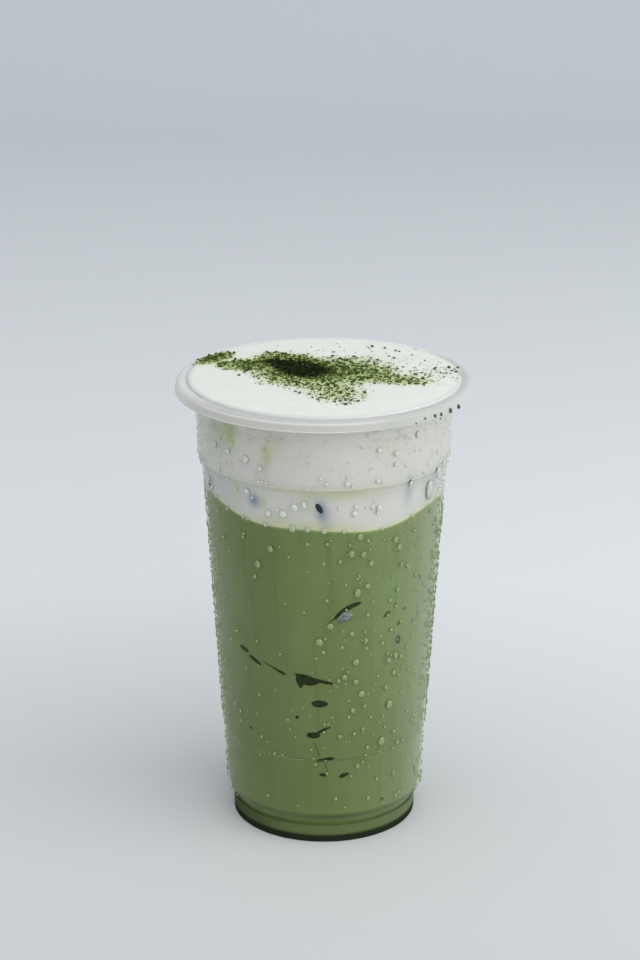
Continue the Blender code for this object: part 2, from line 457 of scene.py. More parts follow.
def foam_finish():
    """White milk foam, tinted by powder dust on top and green stains at the wall, with painted shade on
    its side and grey-blue painted shade round ice at the wall.
    """
    f = Finish("milk_foam_white")
    z = f.position()[2]
    dust = f.attribute("dust")
    border = f.attribute("above_border")
    speckle = f.noise(1500.0, detail=3.0, roughness=0.7)
    soft = f.noise(260.0, detail=3.0)
    white = f.mix(f.band(soft, 0.35, 0.7), rgb(237, 239, 229), rgb(242, 243, 236))
    # The foam's side below the top gets its painted shade.
    colour = f.mix(f.slope(z, LIP_TOP - 0.05, LIP_TOP - 2.05), white, shaded_foam_side(f))
    on_top = f.slope(z, LIP_TOP - 0.55, LIP_TOP - 0.15)
    rim = f.times(f.slope(f.radius(), FOAM_RADIUS - 2.1, FOAM_RADIUS - 0.4), on_top)
    colour = f.mix(f.times(rim, 0.6), colour, rgb(214, 217, 213))
    edge = f.times(f.slope(f.radius(), FOAM_RADIUS - 0.8, FOAM_RADIUS - 0.3), on_top)
    colour = f.mix(f.times(edge, 0.3), colour, rgb(190, 194, 191))
    halo = f.times(f.band(dust, 0.0, 0.18), f.scaled(soft, 0.9, 0.4), clamp=True)
    colour = f.mix(halo, colour, rgb(200, 214, 146))
    grit = f.band(f.math("ADD", speckle, f.times(dust, 0.35)), 0.66, 0.74)
    grit = f.times(grit, f.band(dust, 0.05, 0.35))
    colour = f.mix(f.times(grit, 0.85), colour, rgb(112, 132, 62))
    olive = f.times(f.attribute("olive"), f.scaled(soft, 0.8, 0.45), clamp=True)
    colour = f.mix(olive, colour, rgb(188, 194, 132))
    # Painted shade: grey-blue round ice pressed against the wall.
    colour = f.mix(f.attribute("ice_shade"), colour, rgb(110, 126, 148))
    fringe = f.times(f.slope(border, 2.6, 0.0), f.scaled(soft, 0.8, -0.1), clamp=True)
    colour = f.mix(fringe, colour, rgb(190, 196, 134))
    colour = f.mix(f.slope(border, 0.9, 0.0), colour, rgb(202, 206, 156))
    return f.plain(colour, 0.5, 0.35, Normal=f.bump(soft, 0.0001, 0.2))


def powder_finish(name, deep, light):
    """Dry green tea powder, each grain its own tone."""
    f = Finish(name)
    fine = f.noise(5000.0, detail=2.0)
    share = f.scaled(fine, 0.5, f.times(f.attribute("tone"), 0.75), clamp=True)
    return f.plain(f.mix(share, deep, light), 0.95, 0.1, Normal=f.bump(fine, 0.00006, 0.6))


def bead_finish():
    """Condensed water, painted pale to stand in for the light each bead focuses: pale green over the drink
    and white over the foam, darker at the far right as painted shade.
    """
    f = Finish("condensed_water")
    foam = f.attribute("over_foam")
    # Painted shade: beads at the far right edge of the drink are darker.
    far_right = f.slope(f.position()[0], 29.0, 35.0)
    far_right_shade = f.times(f.times(far_right, f.math("SUBTRACT", 1.0, foam)), 0.4)
    tone = f.mix(foam, rgb(192, 212, 156), rgb(226, 227, 220))
    tone = f.mix(far_right_shade, tone, rgb(124, 138, 104))
    middle = f.node("BsdfPrincipled", {"Base Color": tone, "Roughness": 0.08, "IOR": WATER,
                                       "Transmission Weight": f.scaled(foam, -0.35, 0.6)}).outputs[0]
    rim_tone = f.mix(foam, rgb(186, 200, 158), rgb(228, 229, 224))
    rim_tone = f.mix(far_right_shade, rim_tone, rgb(120, 134, 104))
    rim = f.node("BsdfGlass", {"Color": rim_tone, "Roughness": 0.05, "IOR": WATER}).outputs[0]
    facing = f.math("POWER", f.node("LayerWeight", {"Blend": 0.5}).outputs["Facing"], 1.5)
    share = f.times(facing, f.scaled(foam, -0.57, 0.75))
    return f.surface(f.node("MixShader", {0: share, 1: middle, 2: rim}).outputs[0])


def dark_drop_finish():
    """Drops that hang from the lip and show the shade behind them."""
    f = Finish("dark_drops")
    tone = f.mix(f.band(f.noise(900.0), 0.35, 0.65), rgb(52, 57, 54), rgb(104, 110, 102))
    shader = f.node("BsdfPrincipled", {"Base Color": tone, "Roughness": 0.05, "IOR": WATER,
                                       "Transmission Weight": 0.25}).outputs[0]
    return f.surface(shader)


def ice_edge_finish():
    """The seam where ice in the drink touches the wall: dark green, and slate in the foam."""
    f = Finish("ice_seam_dark")
    clouds = f.noise(900.0, detail=3.0)
    colour = f.mix(f.band(clouds, 0.3, 0.7), rgb(28, 34, 12), rgb(52, 60, 26))
    x, _, z = f.position()
    colour = f.mix(f.times(f.slope(x, 13.0, 20.0), 0.5), colour, rgb(80, 94, 54))
    colour = f.mix(f.slope(z, LEVEL + 1.0, LEVEL + 3.0), colour, rgb(46, 54, 62))
    return f.plain(colour, 0.8, 0.05)


def ice_face_finish():
    """A small wet ice face pressed against the wall."""
    f = Finish("ice_face_grey")
    clouds = f.noise(1100.0, detail=4.0, roughness=0.7)
    colour = f.mix(f.band(clouds, 0.35, 0.65), rgb(82, 90, 82), rgb(144, 152, 142))
    return f.plain(colour, 0.15, 0.5)


def paper_finish():
    """Pale paper sweep, with painted shade towards both ends: darker near the front and up the backdrop.
    """
    f = Finish("pale_paper")
    y = f.position()[1]
    towards_middle = f.node("MapRange", {0: y, 1: -0.25, 2: 0.2}).outputs[0]
    towards_back = f.node("MapRange", {0: y, 1: 0.2, 2: 1.7}).outputs[0]
    colour = f.mix(towards_middle, rgb(199, 200, 200), rgb(232, 234, 235))
    colour = f.mix(towards_back, colour, rgb(199, 203, 206))
    colour = f.mix(f.times(f.noise(30.0, detail=4.0), 0.03), colour, (1, 1, 1, 1))
    return f.plain(colour, 0.9, 0.1)


# ---------------------------------------------------------------- cup and contents

def make_cup():
    """The whole cup as one turned wall: floor, foot, heel, body, shoulder, neck and rolled lip."""
    top = (0.0, FLOOR_UNDER + WALL, 0.0)
    under = (0.0, FLOOR_UNDER, 0.0)
    outline = rounded([top] + inner_corners() + outer_corners() + [under])
    cup = new_piece("cup_wall", turned(refined(outline, 4.0)))
    cup.data.materials.append(plastic_finish())
    hand_over(cup, "clear_plastic", "cup")


def contents_edge():
    """Radius of the contents at LEVEL, and how much it widens for each millimetre up."""
    low = (LEDGE_RADIUS - WALL + LEDGE_STEP + INTO_WALL, LEDGE_HEIGHT + 0.4)
    high = (SHOULDER_LOW_RADIUS - WALL + INTO_WALL, SHOULDER_LOW_HEIGHT + 0.2)
    lean = (high[0] - low[0]) / (high[1] - low[1])
    return low[0] + (LEVEL - low[1]) * lean, lean


def wave_border(shape):
    """Lift everything near LEVEL into the border's waves, fading out over WAVE_REACH."""
    edge, lean = contents_edge()
    for vertex in shape.verts:
        height = vertex.co.z / MM - LEVEL
        if abs(height) >= WAVE_REACH:
            continue
        radius = math.hypot(vertex.co.x, vertex.co.y) / MM
        fade = 1.0 - (abs(height) / WAVE_REACH) ** 2
        rise = border_wave(angle_of(vertex.co.x, vertex.co.y)) * fade * min(1.0, (radius / edge) ** 2)
        stretch = 1.0 + lean * rise / edge
        vertex.co.x *= stretch
        vertex.co.y *= stretch
        vertex.co.z += rise * MM


def border_distance(piece):
    """Height of each vertex above the wavy border, in metres."""
    return [vertex.co.z - (LEVEL + border_wave(angle_of(vertex.co.x, vertex.co.y))) * MM
            for vertex in piece.data.vertices]


def make_latte():
    """The green drink, filling the cup from the floor up to the wavy border."""
    inside = inner_corners(INTO_WALL)
    edge, lean = contents_edge()
    floor = (0.0, inside[0][1], 0.0)
    wall = rounded([floor] + inside[:6] + [(edge - lean * NEAR, LEVEL - NEAR, 0.0)])
    near = [(edge - lean * drop, LEVEL - drop) for drop in (3.0, 2.0, 1.2, 0.8, 0.5, 0.25, 0.0)]
    top = [(edge * share, LEVEL) for share in (0.97, 0.9, 0.8, 0.6, 0.3, 0.0)]
    shape = turned(refined(wall, 3.0) + near + top)
    wave_border(shape)
    latte = new_piece("latte_drink", shape)
    store(latte, "above_border", border_distance(latte))
    latte.data.materials.append(latte_finish())
    hand_over(latte, "matcha_green", "matcha_latte")


# Where the powder fell: (x, y, half length, half width, turn in degrees, share).
POWDER_FALL = (
    (-8.0, 9.0, 9.0, 5.0, -52.0, 0.30),
    (-3.5, 3.0, 6.0, 5.0, 0.0, 0.16),
    (-36.0, 19.2, 4.2, 2.3, 50.0, 0.07),
    (-25.5, 11.0, 4.5, 3.4, 0.0, 0.07),
    (-16.0, 9.0, 5.0, 7.0, 0.0, 0.07),
    (6.0, 7.0, 8.0, 6.5, 0.0, 0.12),
    (13.0, 0.0, 6.0, 5.5, -30.0, 0.075),
    (25.0, -6.0, 5.5, 3.0, -15.0, 0.03),
    (-4.0, -8.0, 7.0, 6.0, -40.0, 0.055),
    (-13.0, -4.0, 5.0, 5.0, 0.0, 0.03),
    (4.5, -20.0, 5.0, 6.0, 10.0, 0.045),
    (35.0, 2.0, 6.0, 4.5, 20.0, 0.01),
    (6.0, 12.0, 20.0, 12.0, 0.0, 0.02),
)
# The deep part of the heap: (x, y, half length, half width, turn in degrees, height).
HEAP = (
    (-9.0, 7.6, 8.2, 5.0, -45.0, 1.2),
    (-6.2, 2.8, 5.0, 4.6, 10.0, 1.1),
    (-16.5, 13.5, 4.0, 2.2, -30.0, 0.55),
)
FULL_COVER = 90.0       # share of the powder, over a patch's half sizes, that hides the foam
HEAP_MIDDLE = (-9.0, 9.0)
HEAP_SPAN = 44.0
HEAP_STEPS = 110
HEAP_SUNK = 0.25        # the heap is cut off where it lies this far under the foam
HEAP_SKIRT = 0.9        # how far its skirt reaches under the foam's edge
ON_HEAP = 0.1           # a heap higher than this carries grains
PATCH_REACH = 4.8       # grains lie within this many half sizes of a patch's middle, squared


def spot(x, y, patch):
    """Height at (x, y) of a soft oval patch whose middle is 1."""
    turn = math.radians(patch[4])
    across, along = x - patch[0], y - patch[1]
    length = across * math.cos(turn) + along * math.sin(turn)
    width = along * math.cos(turn) - across * math.sin(turn)
    return math.exp(-0.5 * ((length / patch[2]) ** 2 + (width / patch[3]) ** 2))


def powder_cover(x, y):
    """How thickly powder lies at (x, y), 0 to 1."""
    return min(1.0, sum(spot(x, y, patch) * patch[5] * FULL_COVER / (patch[2] * patch[3])
                        for patch in POWDER_FALL))


def heap_height(x, y):
    """Height of the powder heap over the foam, in millimetres."""
    full = sum(spot(x, y, patch) ** 1.5 * patch[5] for patch in HEAP)
    rough = noise.fractal(Vector((x * 0.7, y * 0.7, 3.0)), 0.7, 2.0, 5)
    grainy = noise.noise(Vector((x * 1.5, y * 1.5, 5.0)))
    return full * (1.0 + 0.4 * rough + 0.5 * grainy) + 0.24 * rough - 0.36


def foam_top(radius):
    """Height of the foam's surface at a distance from the axis."""
    return FOAM_EDGE + FOAM_DOME * (1.0 - (radius / FOAM_RADIUS) ** 2)


def resting_height(radius):
    """Height of the surface that loose grains lie on, foam in the middle and lip round it."""
    return foam_top(radius) if radius < FOAM_RADIUS - 0.4 else LIP_TOP


# Olive stains at the wall, then grey-blue painted shade round ice at the wall: (angle in degrees, height,
# half width, half height, strength).
OLIVE_STAINS = (
    (-46.5, 140.5, 1.7, 2.6, 0.6),
    (-45.5, 136.5, 1.2, 1.2, 0.6),
    (-24.0, 138.5, 2.8, 2.4, 0.5),
    (-26.0, 134.0, 1.6, 1.6, 0.65),
    (-27.5, 130.0, 1.1, 2.6, 0.4),
    (-45.0, 121.0, 1.2, 4.0, 0.3),
    (-29.5, 118.3, 0.9, 1.4, 0.7),
    (-20.0, 124.0, 6.0, 1.0, 0.3),
    (-8.0, 119.0, 2.0, 4.0, 0.35),
    (12.0, 123.0, 9.0, 1.6, 0.4),
    (30.0, 137.0, 5.0, 3.5, 0.2),
    (-53.0, 139.0, 4.0, 4.0, 0.35),
    (-60.0, 134.0, 6.0, 5.0, 0.2),
    (-27.0, 136.3, 0.7, 0.6, 0.8),
    (-46.0, 139.5, 2.4, 3.4, 0.5),
    (-24.0, 112.6, 5.0, 1.4, 0.4),
    (-6.0, 112.0, 7.0, 1.3, 0.35),
    (9.0, 111.8, 5.0, 1.4, 0.35),
    (5.0, 122.6, 6.0, 1.1, 0.35),
)
# Painted shade round ice at the wall, as grey-blue spots.
ICE_SHADE_SPOTS = (
    (-46.0, 140.6, 1.0, 2.6, 0.2),
    (-56.0, 139.0, 3.5, 4.5, 0.2),
    (-27.0, 136.3, 0.5, 0.5, 0.4),
    (-26.5, 131.5, 0.9, 2.2, 0.15),
    (-71.5, 118.5, 1.6, 2.5, 0.55),
    (-71.5, 117.3, 1.0, 1.6, 0.7),
    (-34.5, 118.3, 1.7, 1.5, 0.85),
    (-2.2, 118.0, 1.7, 2.4, 0.4),
    (-1.4, 116.4, 1.1, 2.2, 0.5),
    (1.5, 114.5, 1.5, 3.0, 0.3),
    (43.0, 120.5, 1.6, 3.4, 0.4),
    (64.0, 121.0, 1.2, 3.0, 0.35),
    (59.0, 118.0, 2.6, 3.4, 0.4),
)


def stain_and_shade_amount(angle, height, stains):
    """Strength of soft wall marks, olive stains and painted ice shade alike, at an angle in radians and a
    height.
    """
    total = 0.0
    for degrees, middle, half_width, half_height, strength in stains:
        turn = (angle - math.radians(degrees) + math.pi) % TAU - math.pi
        across = turn * NECK_RADIUS / half_width
        along = (height - middle) / half_height
        total += strength * math.exp(-0.5 * (across * across + along * along))
    return min(total, 1.0)


def make_foam():
    """The milk foam: wavy underside, neck, the edge over the lip and the nearly level top."""
    inside = inner_corners(INTO_WALL)
    edge, lean = contents_edge()
    level_radius = FOAM_RADIUS - 4.4
    bottom = LEVEL + GAP
    under = [(edge * share, bottom) for share in (0.0, 0.3, 0.6, 0.8, 0.9, 0.97)]
    near = [(edge + lean * lift, bottom + lift) for lift in (0.0, 0.3, 0.6, 1.0, 1.5, 2.2, 3.0)]
    wall = rounded([(edge + lean * NEAR, LEVEL + NEAR, 0.0)] + inside[6:10] + [
        (LIP_INNER_RADIUS + 0.2, LIP_TOP - 0.4, 0.6),
        (FOAM_RADIUS, LIP_TOP - 0.2, 0.1),
        (FOAM_RADIUS - 0.1, FOAM_EDGE - 0.15, 0.5),
        (FOAM_RADIUS - 1.6, FOAM_EDGE + 0.02, 0.8),
        (level_radius, foam_top(level_radius), 0.0),
    ])
    radii = [level_radius * (1.0 - ring / TOP_RINGS) for ring in range(1, TOP_RINGS + 1)]
    top = [(radius, foam_top(radius)) for radius in radii]
    shape = turned(under + near + refined(wall, 1.5) + top)
    wave_border(shape)
    foam = new_piece("foam_cap", shape)
    store(foam, "above_border", border_distance(foam))
    dust, olive, ice_shade = [], [], []
    for vertex in foam.data.vertices:
        x, y, z = vertex.co / MM
        on_top = z > LIP_TOP - 0.1
        angle = angle_of(x, y)
        dust.append(powder_cover(x, y) if on_top else 0.0)
        olive.append(0.0 if on_top else stain_and_shade_amount(angle, z, OLIVE_STAINS))
        ice_shade.append(0.0 if on_top else stain_and_shade_amount(angle, z, ICE_SHADE_SPOTS))
    store(foam, "dust", dust)
    store(foam, "olive", olive)
    store(foam, "ice_shade", ice_shade)
    foam.data.materials.append(foam_finish())
    hand_over(foam, "foam_white", "milk_foam")


# ---------------------------------------------------------------- powder

def is_sunk(vertex):
    """True where the heap lies too far under the foam to show."""
    x, y, z = vertex.co / MM
    return z < foam_top(math.hypot(x, y)) - HEAP_SUNK


def make_heap():
    """The deep heap of powder, a rough low mound whose skirt sinks into the foam.

    Faces that meet at one corner only would leave the mound open there, so the faces round
    such a corner are kept.
    """
    shape = bmesh.new()
    bmesh.ops.create_grid(shape, x_segments=HEAP_STEPS, y_segments=HEAP_STEPS, size=0.5)
    for vertex in shape.verts:
        x = HEAP_MIDDLE[0] + vertex.co.x * HEAP_SPAN
        y = HEAP_MIDDLE[1] + vertex.co.y * HEAP_SPAN
        vertex.co = Vector((x, y, foam_top(math.hypot(x, y)) + heap_height(x, y))) * MM
    sunk = {face for face in shape.faces if all(is_sunk(vertex) for vertex in face.verts)}
    pinched = True
    while pinched:
        pinched = False
        for vertex in shape.verts:
            kept = [face for face in vertex.link_faces if face not in sunk]
            if len(kept) == 2 and not set(kept[0].edges) & set(kept[1].edges):
                sunk -= set(vertex.link_faces)
                pinched = True
    bmesh.ops.delete(shape, geom=[face for face in shape.faces if face in sunk], context="FACES")
    rim = [edge for edge in shape.edges if edge.is_boundary]
    skirt = bmesh.ops.extrude_edge_only(shape, edges=rim)["geom"]
    for item in skirt:
        if isinstance(item, bmesh.types.BMVert):
            item.co.z = (FOAM_EDGE - HEAP_SKIRT) * MM
    bmesh.ops.holes_fill(shape, edges=[item for item in skirt if isinstance(item, bmesh.types.BMEdge)],
                         sides=0)
    bmesh.ops.recalc_face_normals(shape, faces=shape.faces)
    return new_piece("powder_heap", shape)


def as_arrays(shape):
    """Vertex and face arrays of a finished small shape."""
    verts = np.array([tuple(vertex.co) for vertex in shape.verts])
    faces = np.array([[vertex.index for vertex in face.verts] for face in shape.faces])
    shape.free()
    return verts, faces


def grain_kinds():
    """A few rough flat grain shapes, each about 1 across."""
    kinds = []
    chance = random.Random(11)
    for _ in range(5):
        shape = bmesh.new()
        bmesh.ops.create_icosphere(shape, subdivisions=1, radius=0.5)
        for vertex in shape.verts:
            vertex.co *= chance.uniform(0.7, 1.25)
            vertex.co.z *= 0.3
        kinds.append(as_arrays(shape))
    return kinds


def scatter(name, kinds, places, layers):
    """Join copies of small shapes: each place is (kind, 3x3 matrix, position in millimetres)."""
    all_verts, all_faces, counts = [], [], []
    start = 0
    for kind, turn, where in places:
        verts, faces = kinds[kind]
        all_verts.append((verts @ turn.T + where) * MM)
        all_faces.append(faces + start)
        counts.append(len(verts))
        start += len(verts)
    verts = np.concatenate(all_verts)
    faces = np.concatenate(all_faces)
    mesh = bpy.data.meshes.new(name)
    mesh.vertices.add(len(verts))
    mesh.vertices.foreach_set("co", verts.astype(np.float32).ravel())
    mesh.loops.add(faces.size)
    mesh.loops.foreach_set("vertex_index", faces.astype(np.int32).ravel())
    mesh.polygons.add(len(faces))
    mesh.polygons.foreach_set("loop_start", np.arange(0, faces.size, faces.shape[1], dtype=np.int32))
    mesh.update(calc_edges=True)
    mesh.shade_smooth()
    piece = bpy.data.objects.new(name, mesh)
    bpy.context.scene.collection.objects.link(piece)
    for layer, values in layers.items():
        store(piece, layer, np.repeat(np.asarray(values), counts))
    return piece


def random_turn(chance, size):
    """A grain's size with a random turn on the surface and a slight tilt."""
    flat = Matrix.Rotation(chance.uniform(0, TAU), 3, "Z")
    tilt = Matrix.Rotation(chance.gauss(0, 0.4), 3, "X")
    return np.array(flat @ tilt) * size


def make_grains(name, count, small, large, bare_heap, pale_fringe, deep, light, seed):
    """Loose powder grains where the powder fell, resting on the foam or the heap."""
    chance = random.Random(seed)
    kinds = grain_kinds()
    weights = [patch[5] for patch in POWDER_FALL]
    places, tones = [], []
    while len(places) < count:
        patch = chance.choices(POWDER_FALL, weights)[0]
        turn = math.radians(patch[4])
        length, width = chance.gauss(0, patch[2]), chance.gauss(0, patch[3])
        if (length / patch[2]) ** 2 + (width / patch[3]) ** 2 > PATCH_REACH:
            continue
        x = patch[0] + length * math.cos(turn) - width * math.sin(turn)
        y = patch[1] + length * math.sin(turn) + width * math.cos(turn)
        radius = math.hypot(x, y)
        clump = noise.noise(Vector((x * 0.9, y * 0.9, 7.0)))
        if radius > LIP_RADIUS - 2.0 or chance.random() > 0.55 + 1.1 * clump:
            continue
        size = small + (large - small) * chance.random() ** 3
        heap = heap_height(x, y)
        if heap > ON_HEAP and chance.random() < bare_heap:
            continue
        floor = resting_height(radius) + max(0.0, heap)
        places.append((chance.randrange(len(kinds)), random_turn(chance, size),
                       np.array((x, y, floor + size * 0.2))))
        thin = max(0.0, 1.0 - powder_cover(x, y) / 0.5)
        paler = -0.9 if heap > ON_HEAP else pale_fringe * thin
        tones.append(chance.random() + paler)
    grains = scatter(name, kinds, places, {"tone": tones})
    grains.data.materials.append(powder_finish(name + "_tone", deep, light))
    hand_over(grains, "matcha_green")


def make_powder():
    """The heap and two sizes of loose grains."""
    heap = make_heap()
    tones = [0.25 + 0.5 * noise.noise(vertex.co * 900.0) for vertex in heap.data.vertices]
    store(heap, "tone", tones)
    heap.data.materials.append(powder_finish("powder_heap_tone", rgb(30, 35, 19), rgb(62, 70, 38)))
    hand_over(heap, "matcha_green")
    make_grains("powder_clumps", 4000, 0.5, 1.4, 0.3, 0.0, rgb(26, 32, 14), rgb(84, 104, 42), 5)
    make_grains("powder_fine", 8200, 0.26, 0.8, 0.97, 0.4, rgb(62, 82, 30), rgb(192, 208, 136), 6)


# ---------------------------------------------------------------- ice at the wall

SEAM_STEPS = 14
OVAL_STEPS = 20
SEAM_LAYERS = 4
SEAM_DEPTH = 0.3
FACE_DEPTH = 0.2


def wall_point(along, height, inset):
    """A point at an angle in degrees and a height, inset below the wall's outer face."""
    turn = math.radians(along)
    radius = wall_radius(height) - inset
    return Vector((radius * math.sin(turn), -radius * math.cos(turn), height)) * MM


def stroke(shape, start, end, widths, bow, layer):
    """A seam on the wall from start to end, (angle, height) each, with three widths and a bow.

    Seams on different layers lie a little apart, so that crossing ones don't share a face.
    """
    made = bmesh.ops.create_grid(shape, x_segments=SEAM_STEPS, y_segments=2, size=1.0)["verts"]
    middle = (start[1] + end[1]) / 2
    scale = math.degrees(1.0 / wall_radius(middle))
    run = Vector(((end[0] - start[0]) / scale, end[1] - start[1]))
    side = Vector((-run.y, run.x)).normalized()
    first, mid, last = widths
    inset = WALL - INTO_WALL - 0.05 - 0.03 * layer
    for vertex in made:
        t = (vertex.co.x + 1.0) / 2
        width = first * (1 - t) * (1 - 2 * t) + mid * 4 * t * (1 - t) + last * t * (2 * t - 1)
        width *= math.sqrt(max(0.0, 1.0 - abs(2 * t - 1) ** 6)) + 0.02
        flat = run * t + side * (bow * 4 * t * (1 - t) + vertex.co.y * width / 2)
        vertex.co = wall_point(start[0] + flat.x * scale, start[1] + flat.y, inset)


def blot(shape, middle, length, width, tilt):
    """An oval face on the wall, tilted by degrees from level."""
    made = bmesh.ops.create_circle(shape, cap_ends=True, segments=OVAL_STEPS, radius=1.0)["verts"]
    scale = math.degrees(1.0 / wall_radius(middle[1]))
    turn = math.radians(tilt)
    for vertex in made:
        uneven = 1.0 + 0.14 * math.sin(3 * math.atan2(vertex.co.y, vertex.co.x) + middle[0])
        across = vertex.co.x * length / 2 * uneven
        up = vertex.co.y * width / 2 * uneven
        x = across * math.cos(turn) - up * math.sin(turn)
        z = across * math.sin(turn) + up * math.cos(turn)
        vertex.co = wall_point(middle[0] + x * scale, middle[1] + z, WALL - INTO_WALL - 0.17)


def thicken(shape, depth):
    """Give flat wall marks a little depth towards the drink."""
    bmesh.ops.recalc_face_normals(shape, faces=shape.faces)
    for face in shape.faces:
        x, y, _ = face.calc_center_median()
        if face.normal.dot(Vector((x, y, 0.0))) < 0:
            face.normal_flip()
    bmesh.ops.solidify(shape, geom=list(shape.faces), thickness=depth * MM)
    bmesh.ops.recalc_face_normals(shape, faces=shape.faces)


# Dark seams: start (angle, height), end, widths at start, middle and end, bow.
SEAMS = (
    ((-50.0, 65.9), (-43.4, 64.9), (1.2, 1.5, 0.8), 0.1),
    ((-43.4, 64.0), (-35.2, 61.7), (0.8, 1.3, 0.7), 0.0),
    ((-34.0, 63.3), (-20.5, 60.1), (0.2, 0.5, 1.2), 0.0),
    ((-16.2, 61.0), (5.2, 57.6), (0.5, 1.0, 0.9), 0.0),
    ((-15.2, 60.3), (-2.5, 58.2), (1.4, 3.4, 0.8), -0.4),
    ((-12.6, 59.8), (-12.4, 55.8), (3.6, 2.4, 0.3), 0.0),
    ((2.0, 79.2), (7.0, 81.2), (0.1, 0.3, 0.5), 0.0),
    ((4.6, 80.3), (18.8, 85.5), (0.6, 1.5, 0.9), 0.9),
    ((31.3, 78.9), (35.4, 80.5), (0.6, 1.1, 0.8), 0.1),
    ((38.2, 82.2), (39.6, 82.7), (0.4, 0.6, 0.4), 0.0),
    ((44.3, 79.8), (45.9, 80.0), (0.6, 0.9, 0.6), 0.0),
    ((54.8, 89.6), (57.4, 87.6), (0.4, 0.5, 0.3), 0.2),
    ((62.2, 83.9), (63.8, 83.9), (0.4, 0.7, 0.4), 0.0),
    ((51.0, 73.8), (53.0, 74.6), (0.4, 0.6, 0.4), 0.0),
    ((54.6, 75.2), (57.6, 76.6), (0.2, 0.3, 0.2), 0.0),
    ((40.3, 74.9), (42.2, 75.7), (0.6, 0.9, 0.6), 0.0),
    ((41.2, 71.2), (42.2, 68.0), (1.0, 2.0, 0.9), 0.0),
    ((-7.0, 50.7), (2.2, 50.7), (1.0, 2.4, 1.0), 0.0),
    ((-15.4, 46.0), (-14.2, 45.0), (0.6, 1.0, 0.5), 0.0),
    ((-9.8, 39.4), (-2.0, 39.4), (0.9, 2.0, 0.7), 0.0),
    ((-4.5, 39.9), (4.0, 42.5), (1.0, 0.9, 0.3), 0.2),
    ((-4.8, 30.0), (5.6, 31.2), (0.6, 1.3, 0.8), 0.0),
    ((-2.8, 25.2), (1.2, 25.0), (0.6, 1.1, 0.7), 0.0),
    ((8.6, 24.2), (14.2, 25.3), (0.7, 1.3, 0.5), 0.0),
    ((-46.2, 38.0), (-44.2, 37.4), (0.4, 0.8, 0.4), 0.0),
    ((66.0, 19.8), (69.5, 14.5), (0.8, 1.5, 0.6), 0.4),
    ((35.0, 13.6), (37.6, 13.4), (0.4, 0.8, 0.4), 0.0),
    ((-5.8, 37.2), (-2.2, 31.6), (0.1, 0.13, 0.1), 0.0),
    ((0.4, 29.7), (2.6, 25.0), (0.1, 0.13, 0.1), 0.0),
    ((-72.8, 118.6), (-70.8, 116.0), (1.0, 1.5, 1.0), 0.0),
    ((-3.7, 119.6), (-1.0, 116.5), (1.0, 1.7, 0.7), 0.0),
    ((41.6, 123.9), (43.2, 123.3), (0.9, 1.2, 0.8), 0.0),
    ((62.8, 124.4), (64.0, 123.8), (0.5, 0.8, 0.5), 0.0),
    ((61.8, 120.2), (61.8, 117.0), (0.3, 0.8, 0.3), -0.3),
)
# Wet ice faces: middle (angle, height), length, width, tilt.
ICE_FACES = (
    ((10.4, 80.8), 5.6, 3.4, 26.0),
    ((41.0, 69.7), 0.8, 1.3, -20.0),
    ((66.5, 54.6), 2.0, 3.0, 30.0),
    ((63.0, 25.0), 1.6, 2.6, 0.0),
    ((58.5, 118.0), 2.4, 5.2, 0.0),
)


def make_ice():
    """What shows of the ice in the drink: dark seams and small wet faces at the wall."""
    shape = bmesh.new()
    for index, (start, end, widths, bow) in enumerate(SEAMS):
        stroke(shape, start, end, widths, bow, index % SEAM_LAYERS)
    thicken(shape, SEAM_DEPTH)
    seams = new_piece("ice_seams", shape)
    seams.data.materials.append(ice_edge_finish())
    hand_over(seams, "matcha_green")
    shape = bmesh.new()
    for middle, length, width, tilt in ICE_FACES:
        blot(shape, middle, length, width, tilt)
    thicken(shape, FACE_DEPTH)
    faces = new_piece("ice_faces", shape)
    faces.data.materials.append(ice_face_finish())
    hand_over(faces, "clear_plastic")


# ---------------------------------------------------------------- condensation

def bead_kind(segments, rings, sag):
    """A bead about 1 across, flat at the wall, bulging along +X and sagging towards -Z."""
    shape = bmesh.new()
    bmesh.ops.create_uvsphere(shape, u_segments=segments, v_segments=rings * 2, radius=0.5,
                              matrix=Matrix.Rotation(math.pi / 2, 3, "Y").to_4x4())
    bmesh.ops.bisect_plane(shape, geom=shape.verts[:] + shape.edges[:] + shape.faces[:],
                           plane_co=(-0.02, 0, 0), plane_no=(-1, 0, 0), clear_outer=True)
    rim = [edge for edge in shape.edges if edge.is_boundary]
    bmesh.ops.contextual_create(shape, geom=rim)
    for vertex in shape.verts:
        low = 0.5 - vertex.co.z
        vertex.co.x *= 1.0 + sag * (low - 0.5)
        vertex.co.y *= 1.0 + 0.4 * sag * (low - 0.5)
    bmesh.ops.triangulate(shape, faces=shape.faces)
    bmesh.ops.recalc_face_normals(shape, faces=shape.faces)
    return as_arrays(shape)


BEAD_TRIES = 12500
DENSEST = 0.4           # beads on a square millimetre if every try made one
BULGE = 0.28            # how far a round bead stands out, for its width
BEAD_SINK = 0.04        # how deep a bead's flat back lies in the wall
CELL = 2.0              # beads look for their neighbours in cells of this size
SIDES = 66.0            # degrees from the front where the crowded sides start
BACK = 112.0            # degrees from the front where the back starts


def beads_per_area(angle, height):
    """How many beads form on a square millimetre, and how wide they run, at a place on the wall."""
    around = abs(angle)
    if LEVEL + 2.0 < height < SHOULDER_TOP_HEIGHT and around < 62.0:
        return 0.025, 0.5, 1.2
    if height > SHOULDER_TOP_HEIGHT + 1.0:
        return (0.13, 0.4, 0.8) if angle > 15.0 or around > 60.0 else (0.07, 0.45, 1.1)
    if around > BACK:
        return 0.12, 0.5, 1.3
    if around > SIDES:
        return (0.34, 0.7, 1.7) if angle > 0 else (0.28, 0.6, 1.3)
    if angle > 0:
        return 0.03 + 0.03 * (angle / SIDES), 0.6, 1.4
    if angle < -50.0:
        return 0.04, 0.6, 1.3
    return 0.012, 0.6, 1.3


